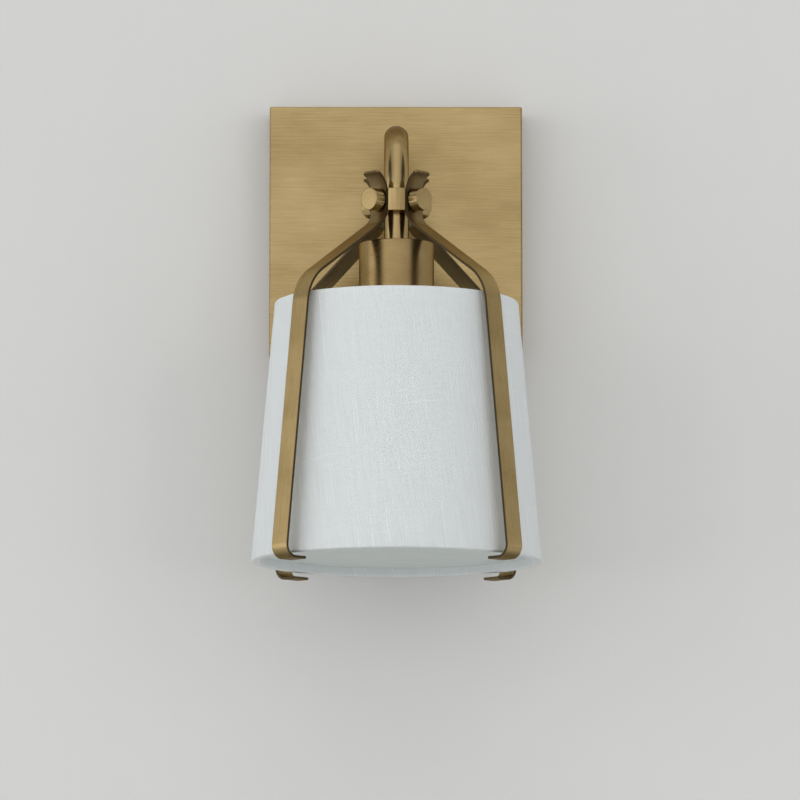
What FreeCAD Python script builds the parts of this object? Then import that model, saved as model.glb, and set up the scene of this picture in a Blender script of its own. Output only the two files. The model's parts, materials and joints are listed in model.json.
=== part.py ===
import FreeCAD, Part
import math
import os

# Fabric shade wall light: a square brass wall pan carries a gooseneck tube.  The tube comes
# down through a collar that holds four bent straps, and ends in a cup with the lampholder.
# A spider clamped under the cup carries the tapered linen shade, which has a frosted disc
# near its lower rim; the straps' feet turn in under that rim.
# Millimetres.  The origin is the middle of the pan's back, on the wall.
# +X is to the right, +Z up, and the light stands out from the wall towards -Y.

Vec = FreeCAD.Vector
UP = Vec(0, 0, 1)
FRONT = Vec(0, -1, 0)

# ---------------------------------------------------------------- driving dimensions
PAN_SIDE = 127.0            # square wall pan
PAN_DEPTH = 22.0
PAN_SHEET = 1.5
PAN_CORNER = 0.9            # outside radius of the folded edges

AXIS_OUT = 95.0             # shade axis to the wall
TUBE_D = 12.0               # gooseneck tube
TUBE_BORE = 10.0
ARM_Z = -10.0               # where the tube leaves the pan
ELBOW_R = 12.0              # bend radii on the tube's centre line
ARCH_R = 30.5
ARCH_Z = 8.8                # centre of the arch

SHADE_TOP_Z = -47.8
SHADE_H = 127.0
SHADE_TOP_R = 59.4
SHADE_LOW_R = 70.5
CLOTH_T = 0.6
LINER_T = 0.5
RIM_ROUND = 0.8             # outside radius of the cloth's fold over each rim
HEM_H = 4.0                 # height of the turned-in cloth inside each rim
TOP_RING_W = 2.2            # square wire in the upper hem
LOW_RING_W = 2.4            # flat ring in the lower hem
DIFFUSER_T = 2.0
DIFFUSER_EDGE = 0.3

COLLAR_R = 12.6
COLLAR_H = 11.2
COLLAR_Z = 1.9              # middle of the collar
COLLAR_EDGE = 0.3           # chamfer of its rims
SEAT_R = 11.1               # collar axis to the floor of a strap's channel
SEAT_W = 10.6

# Middle line of a strap from its curled tip down to its foot: distance from the axis, height.
CURL_TIP = (18.2, 15.2)
CURL_ROOT_Z = 11.4
WAIST_BEND_Z = -8.0
SHOULDER = (64.0, -42.8)
HEEL_R = 79.3
FOOT_TIP_R = 66.3
FOOT_GAP = 2.2              # between a foot and the shade's rim
STRAP_W = 10.2
STRAP_T = 1.3
CURL_BEND_R = 10.0
WAIST_BEND_R = 11.0
SHOULDER_BEND_R = 22.0
HEEL_BEND_R = 5.6
TIP_ROUND = 1.4
STRAP_HOLE_D = 4.5
STRAP_ANGLES = {"front_left": 225, "front_right": 315, "rear_right": 45, "rear_left": 135}

SCREW_Z = 1.8               # thumbscrew axis
HEAD_D = 11.1
HEAD_L = 5.8
HEAD_CHAMFER = 0.35
SHANK_D = 4.0               # M4, 0.7 mm pitch
THREAD_HOLE_D = 4.1
WASHER_D = 7.8
WASHER_T = 1.0

CUP_D = 36.6
CUP_TOP_Z = -18.4
CUP_H = 48.0
CUP_WALL = 1.0
CUP_EDGE = 0.6
CUP_NIPPLE_GRIP = 9.0       # its hold in the tube

SOCKET_R = 13.2             # clear radius in the lampholder for an E26 lamp cap
SHELL_L = 21.0
SHELL_T = 0.5
SHELL_INSET = 1.5           # from the lampholder's mouth
SHELL_ROOM = 5.5            # from the shell to the well's floor
HOLDER_R = 16.4
HOLDER_L = 54.0
RING_NUT_R = 20.6
RING_NUT_H = 5.0
RING_NUT_EDGE = 0.6
HOLDER_CAP_T = 1.2          # metal cap over the lampholder's upper end
HOLDER_CAP_H = 5.0
HOLDER_ROOM = 1.0           # between the cup's nut and that cap
WIRING_R = 7.0              # space for the wires' ends above the well
WELL_FLOOR_T = 6.0
CONTACT_D = 4.4             # centre rivet
CONTACT_L = 7.0
CONTACT_T = 0.6             # sprung tongue
CONTACT_W = 5.0
CONTACT_TAIL = 6.0          # the tongue's reach from the axis: flat end, sprung end and its drop
CONTACT_TIP = 7.0
CONTACT_DROP = 3.0

SPIDER_T = 1.2              # flat steel of the shade's spider
SPIDER_RING_R = 22.0
SPIDER_ARM_W = 4.0
SPIDER_ROOT_R = 18.4        # an arm leaves the ring here, and is cranked between the next two radii
SPIDER_LOW_R = 26.0
SPIDER_HIGH_R = 35.0
SPIDER_BEND_R = 3.0
SPIDER_ANGLES = (90, 210, 330)

BRACKET_W = 26.0
BRACKET_T = 2.0
BRACKET_EAR = 15.0
BOX_SCREW_SPACING = 79.4    # middle of the 2-3/4 to 3-1/2 inch range of ceiling and wall boxes
SLOT_W = 4.8
SLOT_L = 14.4
LOCK_SCREW_D = 4.0
LOCK_SCREW_L = 6.5
LOCK_SCREW_Y = -9.0
KEY_FLATS = 2.0
KEY_DEPTH = 2.2
GROUND_SCREW_D = 4.0
GROUND_SCREW_X = 20.0
GROUND_HEAD_FLATS = 7.0
GROUND_HEAD_T = 3.0

NIPPLE_D = 10.0             # M10 x 1 lamp thread, hollow for the wires
NIPPLE_BORE = 7.0
NUT_FLATS = 15.0
NUT_T = 3.0
ARM_WASHER_D = 19.0
ARM_WASHER_T = 1.0
ARM_NIPPLE_SPARE = 2.0      # thread standing past the nut
FREE = 0.2                  # clearance round a thread that passes through a sheet

# ---------------------------------------------------------------- derived places
AXIS_Y = -AXIS_OUT
REAR_LEG_Y = AXIS_Y + 2 * ARCH_R
PAN_FACE_Y = -PAN_DEPTH
SHADE_LOW_Z = SHADE_TOP_Z - SHADE_H
SHADE_SLOPE = (SHADE_LOW_R - SHADE_TOP_R) / SHADE_H
STRAP_OUT_R = SEAT_R + STRAP_T
WAIST_R = SEAT_R + STRAP_T / 2
HOLDER_TOP_Z = CUP_TOP_Z - CUP_WALL - NUT_T - HOLDER_ROOM
HOLDER_LOW_Z = HOLDER_TOP_Z - HOLDER_L
SHELL_LOW_Z = HOLDER_LOW_Z + SHELL_INSET
WELL_FLOOR_Z = SHELL_LOW_Z + SHELL_L + SHELL_ROOM
CUP_LOW_Z = CUP_TOP_Z - CUP_H
WIRE_LOW_Z = SHADE_TOP_Z - CLOTH_T - TOP_RING_W
FOOT_Z = SHADE_LOW_Z - FOOT_GAP - STRAP_T / 2      # middle of the foot's thickness


# ---------------------------------------------------------------- small builders
def cylinder(diameter, length, base, axis):
    return Part.makeCylinder(diameter / 2, length, base, axis)


def tube(outer_d, inner_d, length, base, axis):
    return cylinder(outer_d, length, base, axis).cut(cylinder(inner_d, length, base, axis))


def box(x0, x1, y0, y1, z0, z1):
    return Part.makeBox(x1 - x0, y1 - y0, z1 - z0, Vec(x0, y0, z0))


def rounded_path(points, radii):
    """Edges along points in the r-z plane; radii holds one bend radius per inner point."""
    points = [Vec(r, 0, z) for r, z in points]
    edges = []
    start = points[0]
    for before, corner, after, radius in zip(points, points[1:], points[2:], radii):
        to_before = (before - corner).normalize()
        to_after = (after - corner).normalize()
        half = to_before.getAngle(to_after) / 2
        reach = radius / math.tan(half)
        bend_in = corner + to_before * reach
        bend_out = corner + to_after * reach
        middle = (to_before + to_after).normalize()
        crown = corner + middle * (radius / math.sin(half) - radius)
        edges.append(Part.LineSegment(start, bend_in).toShape())
        edges.append(Part.Arc(bend_in, crown, bend_out).toShape())
        start = bend_out
    edges.append(Part.LineSegment(start, points[-1]).toShape())
    return edges


def offset_points(points, radii, distance):
    """Corner points and bend radii of the path that runs beside points, distance to its left."""
    vectors = [Vec(r, 0, z) for r, z in points]
    runs = [(b - a).normalize() for a, b in zip(vectors, vectors[1:])]
    lefts = [Vec(-run.z, 0, run.x) for run in runs]
    moved = [vectors[0] + lefts[0] * distance]
    new_radii = []
    for i, radius in enumerate(radii):
        middle = (lefts[i] + lefts[i + 1]).normalize()
        moved.append(vectors[i + 1] + middle * (distance / middle.dot(lefts[i])))
        turns_left = runs[i].cross(runs[i + 1]).y < 0
        new_radii.append(radius - distance if turns_left else radius + distance)
    moved.append(vectors[-1] + lefts[-1] * distance)
    return [(v.x, v.z) for v in moved], new_radii


def strip_face(points, radii, thickness):
    """The side face of a bent strip whose middle line runs along points."""
    left = rounded_path(*offset_points(points, radii, thickness / 2))
    right = rounded_path(*offset_points(points, radii, -thickness / 2))
    ends = [Part.LineSegment(left[0].firstVertex().Point, right[0].firstVertex().Point),
            Part.LineSegment(left[-1].lastVertex().Point, right[-1].lastVertex().Point)]
    outline = left + right + [end.toShape() for end in ends]
    return Part.Face(Part.Wire(Part.__sortEdges__(outline)))


def turned(outline):
    """A solid of revolution about the shade axis from straight r-z outline points."""
    corners = [Vec(r, 0, z) for r, z in outline]
    face = Part.Face(Part.makePolygon(corners + corners[:1]))
    solid = face.revolve(Vec(0, 0, 0), UP, 360)
    solid.translate(Vec(0, AXIS_Y, 0))
    return solid


def rims(shape, radius):
    """The circular edges of this radius."""
    return [edge for edge in shape.Edges if edge.Closed and abs(edge.Curve.Radius - radius) < 0.01]


def hexagon(flats, thickness, base, axis, bore=0):
    """A hexagon prism standing on base along axis, with a bore if it is a nut."""
    corner_r = flats / math.sqrt(3)
    corners = []
    for k in range(7):
        turn = math.radians(60 * k)
        corners.append(Vec(corner_r * math.cos(turn), corner_r * math.sin(turn), 0))
    nut = Part.Face(Part.makePolygon(corners)).extrude(Vec(0, 0, thickness))
    if bore:
        nut = nut.cut(cylinder(bore, thickness, Vec(0, 0, 0), UP))
    nut.Placement = FreeCAD.Placement(base, FreeCAD.Rotation(UP, axis))
    return nut


def on_strap_side(shape, name):
    """Turns a shape made along +X from the axis to its strap's side, and puts it on the shade axis."""
    shape.rotate(Vec(0, 0, 0), UP, STRAP_ANGLES[name])
    shape.translate(Vec(0, AXIS_Y, 0))
    return shape


def shade_radius(z):
    """Outside radius of the cloth at height z."""
    return SHADE_TOP_R + (SHADE_TOP_Z - z) * SHADE_SLOPE


# ---------------------------------------------------------------- wall side
def backplate():
    half = PAN_SIDE / 2
    inner = half - PAN_SHEET
    pan = box(-half, half, PAN_FACE_Y, 0, -half, half)
    folds = [edge for edge in pan.Edges if edge.CenterOfMass.y < -PAN_SHEET]
    pan = pan.makeFillet(PAN_CORNER, folds)
    pan = pan.cut(box(-inner, inner, PAN_FACE_Y + PAN_SHEET, 0, -inner, inner))
    arm_hole = cylinder(NIPPLE_D + 2 * FREE, PAN_SHEET, Vec(0, PAN_FACE_Y, ARM_Z), -FRONT)
    return pan.cut(arm_hole).cut(lock_holes(LOCK_SCREW_D + FREE, inner, half))


def lock_holes(diameter, inner, outer):
    """Cutters for the holes of the two grub screws, from inner to outer on both sides."""
    holes = [cylinder(diameter, outer - inner, Vec(side * inner, LOCK_SCREW_Y, 0), Vec(side, 0, 0))
             for side in (-1, 1)]
    return Part.makeCompound(holes)


def slot_hole(x):
    """Cutter for a slot along X through the bracket's web."""
    run = (SLOT_L - SLOT_W) / 2
    hole = box(x - run, x + run, -BRACKET_T, 0, -SLOT_W / 2, SLOT_W / 2)
    for end in (x - run, x + run):
        hole = hole.fuse(cylinder(SLOT_W, BRACKET_T, Vec(end, 0, 0), FRONT))
    return hole.removeSplitter()


def mounting_bracket():
    """Cross strip against the wall, with ears that the pan slips over."""
    reach = PAN_SIDE / 2 - PAN_SHEET - FREE
    middle = reach - BRACKET_T / 2
    web = BRACKET_T / 2
    points = [(-middle, BRACKET_EAR), (-middle, web), (middle, web), (middle, BRACKET_EAR)]
    strip = strip_face(points, [BRACKET_T, BRACKET_T], BRACKET_T).extrude(Vec(0, BRACKET_W, 0))
    strip.translate(Vec(0, -BRACKET_W / 2, 0))
    strip.rotate(Vec(0, 0, 0), Vec(1, 0, 0), 90)
    for side in (-1, 1):
        strip = strip.cut(slot_hole(side * BOX_SCREW_SPACING / 2))
    strip = strip.cut(lock_holes(LOCK_SCREW_D, reach - BRACKET_T, reach))
    strip = strip.cut(cylinder(NIPPLE_D + 2 * FREE, BRACKET_T, Vec(0, 0, 0), FRONT))
    return strip.cut(cylinder(GROUND_SCREW_D, BRACKET_T, Vec(GROUND_SCREW_X, 0, 0), FRONT))


def ground_screw():
    head = hexagon(GROUND_HEAD_FLATS, GROUND_HEAD_T, Vec(GROUND_SCREW_X, -BRACKET_T, 0), FRONT)
    return head.fuse(cylinder(GROUND_SCREW_D, BRACKET_T, Vec(GROUND_SCREW_X, 0, 0), FRONT))


def lock_screws():
    """Two grub screws through the pan's sides into the bracket's ears, flush with the pan."""
    screws = []
    for side in (-1, 1):
        outer_end = Vec(side * (PAN_SIDE / 2 - FREE), LOCK_SCREW_Y, 0)
        inward = Vec(-side, 0, 0)
        screw = cylinder(LOCK_SCREW_D, LOCK_SCREW_L, outer_end, inward)
        screws.append(screw.cut(hexagon(KEY_FLATS, KEY_DEPTH, outer_end, inward)))
    return Part.makeCompound(screws)


# ---------------------------------------------------------------- arm
def arm_line():
    """Centre line of the gooseneck, from the pan's face to the top of the cup."""
    slant = math.sqrt(0.5)
    elbow_centre = Vec(0, REAR_LEG_Y + ELBOW_R, ARM_Z + ELBOW_R)
    elbow_low = elbow_centre - Vec(0, 0, ELBOW_R)
    elbow_middle = elbow_centre - Vec(0, slant, slant) * ELBOW_R
    elbow_end = elbow_centre - Vec(0, ELBOW_R, 0)
    arch_rear = Vec(0, REAR_LEG_Y, ARCH_Z)
    arch_top = Vec(0, REAR_LEG_Y - ARCH_R, ARCH_Z + ARCH_R)
    arch_front = Vec(0, AXIS_Y, ARCH_Z)
    return Part.Wire([Part.Arc(elbow_low, elbow_middle, elbow_end).toShape(),
                      Part.LineSegment(elbow_end, arch_rear).toShape(),
                      Part.Arc(arch_rear, arch_top, arch_front).toShape(),
                      Part.LineSegment(arch_front, Vec(0, AXIS_Y, CUP_TOP_Z)).toShape()])


def arm_tube():
    line = arm_line()
    skins = []
    for diameter in (TUBE_D, TUBE_BORE):
        ring = Part.Wire(Part.Circle(line.OrderedVertexes[0].Point, FRONT, diameter / 2).toShape())
        skins.append(line.makePipeShell([ring], True, False))
    return skins[0].cut(skins[1])


def arm_nipple():
    """Hollow thread brazed into the tube's rear end; it draws the tube against the pan."""
    length = PAN_SHEET + ARM_WASHER_T + NUT_T + ARM_NIPPLE_SPARE
    return tube(NIPPLE_D, NIPPLE_BORE, length, Vec(0, PAN_FACE_Y, ARM_Z), -FRONT)


def arm_washer():
    seat = Vec(0, PAN_FACE_Y + PAN_SHEET, ARM_Z)
    return tube(ARM_WASHER_D, NIPPLE_D + 2 * FREE, ARM_WASHER_T, seat, -FRONT)


def arm_nut():
    seat = Vec(0, PAN_FACE_Y + PAN_SHEET + ARM_WASHER_T, ARM_Z)
    return hexagon(NUT_FLATS, NUT_T, seat, -FRONT, NIPPLE_D)


# ---------------------------------------------------------------- collar, straps and thumbscrews
def collar():
    """Ring on the tube with four flat-bottomed channels that keep the straps from turning."""
    low = COLLAR_Z - COLLAR_H / 2
    block = tube(COLLAR_R * 2, TUBE_D, COLLAR_H, Vec(0, 0, low), UP)
    block = block.makeChamfer(COLLAR_EDGE, rims(block, COLLAR_R))
    for angle in STRAP_ANGLES.values():
        cutter = box(SEAT_R, COLLAR_R + 1, -SEAT_W / 2, SEAT_W / 2, low, low + COLLAR_H)
        cutter = cutter.fuse(cylinder(THREAD_HOLE_D, COLLAR_R, Vec(0, 0, SCREW_Z), Vec(1, 0, 0)))
        cutter.rotate(Vec(0, 0, 0), UP, angle)
        block = block.cut(cutter)
    block.translate(Vec(0, AXIS_Y, 0))
    return block


def strap(name):
    """Bent strip: curled tip, waist on the collar, sloping shoulder, long leg and a foot."""
    points = [CURL_TIP, (WAIST_R, CURL_ROOT_Z), (WAIST_R, WAIST_BEND_Z), SHOULDER,
              (HEEL_R, FOOT_Z), (FOOT_TIP_R, FOOT_Z)]
    bends = [CURL_BEND_R, WAIST_BEND_R, SHOULDER_BEND_R, HEEL_BEND_R]
    strip = strip_face(points, bends, STRAP_T).extrude(Vec(0, STRAP_W, 0))
    strip.translate(Vec(0, -STRAP_W / 2, 0))
    corners = [edge for edge in strip.Edges
               if edge.CenterOfMass.z > CURL_ROOT_Z and abs(edge.Length - STRAP_T) < 0.01]
    strip = strip.makeFillet(TIP_ROUND, corners)
    hole = cylinder(STRAP_HOLE_D, STRAP_T * 2, Vec(SEAT_R - STRAP_T / 2, 0, SCREW_Z), Vec(1, 0, 0))
    return on_strap_side(strip.cut(hole), name)


def washer(name):
    ring = tube(WASHER_D, SHANK_D + FREE, WASHER_T, Vec(STRAP_OUT_R, 0, SCREW_Z), Vec(1, 0, 0))
    return on_strap_side(ring, name)


def thumbscrew(name):
    head_r = STRAP_OUT_R + WASHER_T
    shank_r = TUBE_D / 2 + FREE
    head = cylinder(HEAD_D, HEAD_L, Vec(head_r, 0, SCREW_Z), Vec(1, 0, 0))
    head = head.makeChamfer(HEAD_CHAMFER, rims(head, HEAD_D / 2))
    shank = cylinder(SHANK_D, head_r - shank_r, Vec(shank_r, 0, SCREW_Z), Vec(1, 0, 0))
    return on_strap_side(head.fuse(shank), name)


# ---------------------------------------------------------------- cup and lampholder
def socket_cup():
    base = Vec(0, AXIS_Y, CUP_LOW_Z)
    shell = cylinder(CUP_D, CUP_H, base, UP)
    top_rim = [edge for edge in rims(shell, CUP_D / 2) if edge.CenterOfMass.z > CUP_LOW_Z + CUP_WALL]
    shell = shell.makeFillet(CUP_EDGE, top_rim)
    shell = shell.cut(cylinder(CUP_D - 2 * CUP_WALL, CUP_H - CUP_WALL, base, UP))
    return shell.cut(cylinder(NIPPLE_D + 2 * FREE, CUP_WALL, Vec(0, AXIS_Y, CUP_TOP_Z), -UP))


def cup_nipple():
    """Hollow thread in the tube's lower end; it holds the cup and the lampholder."""
    top = CUP_TOP_Z + CUP_NIPPLE_GRIP
    length = CUP_NIPPLE_GRIP + CUP_WALL + NUT_T + HOLDER_ROOM + HOLDER_CAP_T
    return tube(NIPPLE_D, NIPPLE_BORE, length, Vec(0, AXIS_Y, top), -UP)


def cup_nut():
    return hexagon(NUT_FLATS, NUT_T, Vec(0, AXIS_Y, CUP_TOP_Z - CUP_WALL), -UP, NIPPLE_D)


def lampholder_cap():
    """Metal cap on the hollow thread, over the upper end of the moulded body."""
    top = HOLDER_TOP_Z
    under = top - HOLDER_CAP_T
    low = top - HOLDER_CAP_H
    neck_r = HOLDER_R - HOLDER_CAP_T
    return turned([(NIPPLE_D / 2, top), (HOLDER_R, top), (HOLDER_R, low), (neck_r, low), (neck_r, under),
                   (NIPPLE_D / 2, under)])


def lampholder_body():
    """Moulded body: a wiring space above, an open well for the screw shell below."""
    top = HOLDER_TOP_Z - HOLDER_CAP_T
    shoulder = HOLDER_TOP_Z - HOLDER_CAP_H
    neck_r = HOLDER_R - HOLDER_CAP_T
    well_r = SOCKET_R + SHELL_T
    wiring_floor = WELL_FLOOR_Z + WELL_FLOOR_T
    return turned([(WIRING_R, top), (neck_r, top), (neck_r, shoulder), (HOLDER_R, shoulder),
                   (HOLDER_R, HOLDER_LOW_Z), (well_r, HOLDER_LOW_Z), (well_r, WELL_FLOOR_Z),
                   (CONTACT_D / 2, WELL_FLOOR_Z), (CONTACT_D / 2, wiring_floor), (WIRING_R, wiring_floor)])


def lampholder_shell():
    """Metal screw shell that takes the lamp's cap."""
    return tube((SOCKET_R + SHELL_T) * 2, SOCKET_R * 2, SHELL_L, Vec(0, AXIS_Y, SHELL_LOW_Z), UP)


def lampholder_contact():
    """Centre contact: a rivet through the floor of the well and a sprung tongue under it."""
    rivet = cylinder(CONTACT_D, CONTACT_L, Vec(0, AXIS_Y, WELL_FLOOR_Z), UP)
    flat_z = WELL_FLOOR_Z - CONTACT_T / 2
    points = [(-CONTACT_TAIL, flat_z), (0, flat_z), (CONTACT_TIP, flat_z - CONTACT_DROP)]
    tongue = strip_face(points, [CONTACT_TAIL], CONTACT_T).extrude(Vec(0, CONTACT_W, 0))
    tongue.translate(Vec(0, AXIS_Y - CONTACT_W / 2, 0))
    return rivet.fuse(tongue)


def holder_ring():
    """Ring nut on the lampholder's threaded skirt; it clamps the spider under the cup."""
    top = CUP_LOW_Z - SPIDER_T
    ring = tube(RING_NUT_R * 2, HOLDER_R * 2, RING_NUT_H, Vec(0, AXIS_Y, top - RING_NUT_H), UP)
    return ring.makeChamfer(RING_NUT_EDGE, rims(ring, RING_NUT_R))


# ---------------------------------------------------------------- shade
def shade_fabric():
    """Linen skin with its edges turned in over both rims; each turn-in hides a ring."""
    top_hem_r = SHADE_TOP_R - CLOTH_T - LINER_T - 2 * FREE - TOP_RING_W       # outside of the turned-in cloth
    low_hem_r = SHADE_LOW_R - CLOTH_T - LINER_T - 2 * FREE - LOW_RING_W
    top_hem, low_hem = SHADE_TOP_Z - HEM_H, SHADE_LOW_Z + HEM_H
    under_top, over_low = SHADE_TOP_Z - CLOTH_T, SHADE_LOW_Z + CLOTH_T
    skin = turned([(SHADE_LOW_R, SHADE_LOW_Z), (SHADE_TOP_R, SHADE_TOP_Z),
                   (top_hem_r - CLOTH_T, SHADE_TOP_Z), (top_hem_r - CLOTH_T, top_hem),
                   (low_hem_r - CLOTH_T, low_hem), (low_hem_r - CLOTH_T, SHADE_LOW_Z)])
    skin = skin.makeFillet(RIM_ROUND, rims(skin, SHADE_LOW_R) + rims(skin, SHADE_TOP_R))
    skin = skin.cut(turned([(skin_radius(over_low), over_low), (skin_radius(under_top), under_top),
                            (top_hem_r, under_top), (top_hem_r, top_hem), (0, top_hem),
                            (0, low_hem), (low_hem_r, low_hem), (low_hem_r, over_low)]))
    for angle in SPIDER_ANGLES:
        notch = box(SHADE_TOP_R - HEM_H * 1.5, SHADE_TOP_R - HEM_H / 2, -SPIDER_ARM_W / 2 - FREE,
                    SPIDER_ARM_W / 2 + FREE, top_hem - 1, WIRE_LOW_Z + FREE)
        notch.rotate(Vec(0, 0, 0), UP, angle)
        notch.translate(Vec(0, AXIS_Y, 0))
        skin = skin.cut(notch)
    return skin


def skin_radius(z):
    """Inside radius of the cloth at height z."""
    return shade_radius(z) - CLOTH_T


def shade_liner():
    """Stiff backing that the linen is bonded to."""
    top = SHADE_TOP_Z - CLOTH_T - FREE
    low = SHADE_LOW_Z + CLOTH_T + FREE
    return turned([(skin_radius(low), low), (skin_radius(top), top),
                   (skin_radius(top) - LINER_T, top), (skin_radius(low) - LINER_T, low)])


def shade_top_ring():
    """Ring of square wire in the upper hem; the spider's arms are welded under it."""
    outer = skin_radius(SHADE_TOP_Z) - LINER_T - FREE
    base = Vec(0, AXIS_Y, WIRE_LOW_Z)
    return tube(outer * 2, (outer - TOP_RING_W) * 2, TOP_RING_W, base, UP)


def shade_spider():
    """Washer under the cup with three cranked arms up to the shade's top wire."""
    low = CUP_LOW_Z - SPIDER_T
    spider = tube(SPIDER_RING_R * 2, (HOLDER_R + FREE) * 2, SPIDER_T, Vec(0, 0, low), UP)
    arm_z = WIRE_LOW_Z - SPIDER_T / 2
    ring_z = low + SPIDER_T / 2
    arm_end_r = skin_radius(SHADE_TOP_Z) - LINER_T - TOP_RING_W / 2
    for angle in SPIDER_ANGLES:
        points = [(SPIDER_ROOT_R, ring_z), (SPIDER_LOW_R, ring_z), (SPIDER_HIGH_R, arm_z), (arm_end_r, arm_z)]
        bends = [SPIDER_BEND_R, SPIDER_BEND_R]
        arm = strip_face(points, bends, SPIDER_T).extrude(Vec(0, SPIDER_ARM_W, 0))
        arm.translate(Vec(0, -SPIDER_ARM_W / 2, 0))
        arm.rotate(Vec(0, 0, 0), UP, angle)
        spider = spider.fuse(arm)
    spider.translate(Vec(0, AXIS_Y, 0))
    return spider.removeSplitter()


def shade_bottom_ring():
    """Flat ring in the lower hem; the frosted disc rests on its top edge."""
    outer = skin_radius(SHADE_LOW_Z + HEM_H) - LINER_T
    low = SHADE_LOW_Z + CLOTH_T
    return tube(outer * 2, (outer - LOW_RING_W) * 2, HEM_H - CLOTH_T, Vec(0, AXIS_Y, low), UP)


def diffuser():
    radius = skin_radius(SHADE_LOW_Z + HEM_H + DIFFUSER_T) - LINER_T - FREE
    disc = cylinder(radius * 2, DIFFUSER_T, Vec(0, AXIS_Y, SHADE_LOW_Z + HEM_H), UP)
    return disc.makeChamfer(DIFFUSER_EDGE, rims(disc, radius))


# ---------------------------------------------------------------- export
SINGLE_PIECES = (backplate, mounting_bracket, ground_screw, lock_screws, arm_tube, arm_nipple, arm_washer,
                 arm_nut, collar, socket_cup, cup_nipple, cup_nut, lampholder_cap, lampholder_body,
                 lampholder_shell, lampholder_contact, holder_ring, shade_fabric, shade_liner,
                 shade_top_ring, shade_spider, shade_bottom_ring, diffuser)


def pieces():
    made = {build.__name__: build() for build in SINGLE_PIECES}
    for name in STRAP_ANGLES:
        for build in (strap, washer, thumbscrew):
            made[build.__name__ + "_" + name] = build(name)
    return made


os.makedirs("parts", exist_ok=True)
for node, shape in pieces().items():
    shape.exportStep("parts/" + node + ".step")
    extent = shape.BoundBox
    print("%-24s valid %s, solids %d, volume %8.1f, x %6.1f %6.1f, y %6.1f %6.1f, z %6.1f %6.1f" % (
        node, shape.isValid(), len(shape.Solids), shape.Volume, extent.XMin, extent.XMax,
        extent.YMin, extent.YMax, extent.ZMin, extent.ZMax))
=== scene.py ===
"""Fabric shade wall light: finishes, linen cover, threads, small fittings and a plain studio round the
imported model.  Metres; +X right, +Z up, and the light stands out from the wall towards -Y."""
import json
import math

import bpy
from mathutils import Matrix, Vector


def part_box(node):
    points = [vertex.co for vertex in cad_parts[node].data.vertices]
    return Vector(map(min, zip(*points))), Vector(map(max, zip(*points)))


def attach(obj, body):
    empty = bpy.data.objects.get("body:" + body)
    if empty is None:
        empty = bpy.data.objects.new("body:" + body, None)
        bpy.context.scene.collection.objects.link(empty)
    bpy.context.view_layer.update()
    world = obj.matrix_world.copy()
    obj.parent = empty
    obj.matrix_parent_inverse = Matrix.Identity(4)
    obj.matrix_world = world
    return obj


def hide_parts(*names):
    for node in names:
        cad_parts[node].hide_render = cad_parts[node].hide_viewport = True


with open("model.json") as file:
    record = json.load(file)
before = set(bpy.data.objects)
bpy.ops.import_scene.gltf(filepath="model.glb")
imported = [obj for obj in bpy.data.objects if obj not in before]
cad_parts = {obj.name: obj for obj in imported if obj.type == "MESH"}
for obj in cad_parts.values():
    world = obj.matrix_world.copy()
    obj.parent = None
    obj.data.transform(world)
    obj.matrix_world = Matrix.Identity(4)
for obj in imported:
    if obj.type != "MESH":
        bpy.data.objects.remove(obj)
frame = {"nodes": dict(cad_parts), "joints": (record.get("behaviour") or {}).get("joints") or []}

bl_info = {
    "name": "Fabric Shade Wall Light",
    "version": (1, 0, 0),
    "blender": (4, 5, 0),
    "location": "3D Viewport > Sidebar > Wall Light",
    "description": "Dresses a brass wall light with a linen shade",
    "category": "Add Mesh",
}

MM = 0.001
CORNERS = ("front_left", "front_right", "rear_right", "rear_left")
JOINTS = {joint["name"]: joint for joint in frame["joints"]}
TURN_JOINTS = {corner: JOINTS[corner + "_turn"] for corner in CORNERS}
AXIS_Y = TURN_JOINTS["front_left"]["pos_m"][1]
PAN_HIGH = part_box("backplate")[1]
CLOTH_LOW, CLOTH_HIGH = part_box("shade_fabric")
FIXED_BODY = "fixture"
ALONG_X = (0, math.pi / 2, 0)  # turns a primitive from Z to X
FACING = 0.9  # least part of a face's normal along the axis that it looks along

# How often the patterns repeat in a millimetre, along X, Y and Z or along and across the grain
HAIR = (0.07, 4.5, 4.5)
STREAK = (0.032, 1.15, 1.15)
BRASS_CLOUD = (-0.017, 0.02, 0.034)
BROWN_STREAK = (0.5, 0.5, 0.03)
TURNED_PATCH = 0.09
WARP = (1.7, 0.03, 0)
WEFT = (0.04, 1.5, 0)
SLUB = (1.15, 0.018, 0)
SHORT_SLUB = (1.5, 0.045, 0)
CROSS_SLUB = (0.018, 1.1, 0)
HUSK = (0.045, 0.030, 0)

# What the noise gives, for spread(): its swing about 0.5, then the value at each end
HAIR_TONE = (0.25, -0.22, 0.22)
STREAK_TONE = (0.2, 0.12, 0.68)
CLOUD_TONE = (0.18, -0.40, 0.38)
STREAK_ROUGH = (0.2, 0.03, -0.03)
CLOUD_ROUGH = (0.2, 0.03, -0.02)
DARK_ROUGH = 0.15
BROWN_STREAK_AGE = (0.15, 0.0, 0.4)
WARP_TONE = (0.18, 0.0, 0.62)
WEFT_TONE = (0.2, 0.0, 0.14)

# Where the noise is a thick thread or a speck, for between()
SLUB_CUT = (0.735, 0.77)
SHORT_SLUB_CUT = (0.75, 0.80)
CROSS_SLUB_CUT = (0.76, 0.81)
HUSK_SIZE = (0.010, 0.026, 1.0, 0.0)
HUSK_CUT = (0.50, 0.54)

# Where the straps are darkened, for between(): millimetres out from a strap's middle line or up from
# the pan's middle, then the darkness at each end
# along the sheared edges the darkening is partly patina, partly painted shade
STRAP_EDGE_PATINA_AND_SHADE = (4.9, 5.06, 0.0, 0.9)
# over the slope up to the waist and curl the darkening is painted shade, growing towards the hub
STRAP_SHOULDER_SHADE = (-42, -12, 0.0, 0.52)
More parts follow.
